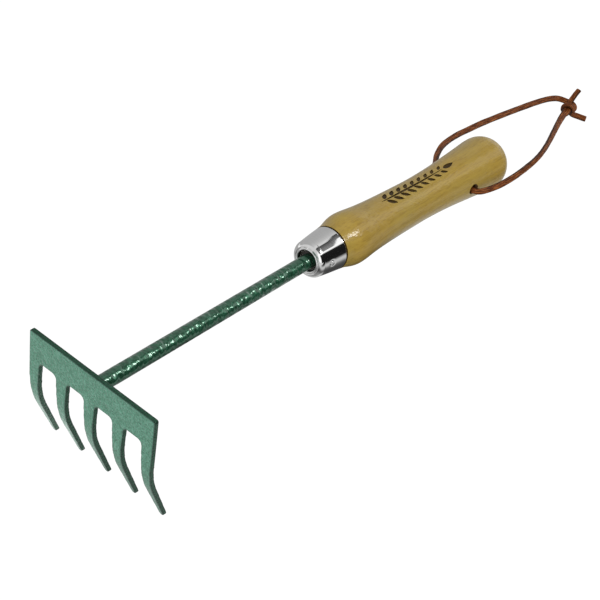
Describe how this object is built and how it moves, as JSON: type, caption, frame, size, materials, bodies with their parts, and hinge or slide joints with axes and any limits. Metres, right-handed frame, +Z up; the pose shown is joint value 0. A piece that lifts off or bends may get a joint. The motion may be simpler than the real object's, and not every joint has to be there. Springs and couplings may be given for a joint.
{
  "type": "hand rake",
  "caption": "Garden hand rake: hammered green steel head with curved tines on a round steel bar, bright ferrule, turned wooden grip and a leather hanging thong.",
  "frame": {"origin": "middle of the head plate's flat front face, where the bar's axis meets it", "axes": "+X along the bar from the head towards the grip, +Y across the tines, +Z up with the tines pointing down"},
  "size_m": [0.4122, 0.08, 0.0747],
  "materials": {
    "hammered_paint": "satin hammered green paint",
    "shank_paint": "glossy hammered dark green paint",
    "ferrule_chrome": "bright nickel-chrome plate",
    "pin_steel": "plain steel nail",
    "varnished_wood": "clear gloss varnish on pale hardwood",
    "resin": "cured resin",
    "leather": "oiled brown leather lace"
  },
  "bodies": {
    "tool": {"rake_head": "hammered_paint", "weld_bead": "hammered_paint", "shank": "shank_paint", "ferrule": "ferrule_chrome", "ferrule_pin": "pin_steel", "handle": "varnished_wood", "tang_adhesive": "resin"},
    "thong": {"leather_thong": "leather"}
  },
  "joints": [
    {"name": "thong_swing", "type": "hinge", "parent": "tool", "child": "thong", "pos_m": [0.27755, 0, -0.00277], "axis": [0, -1, 0], "range_deg": [-160, 160]}
  ]
}
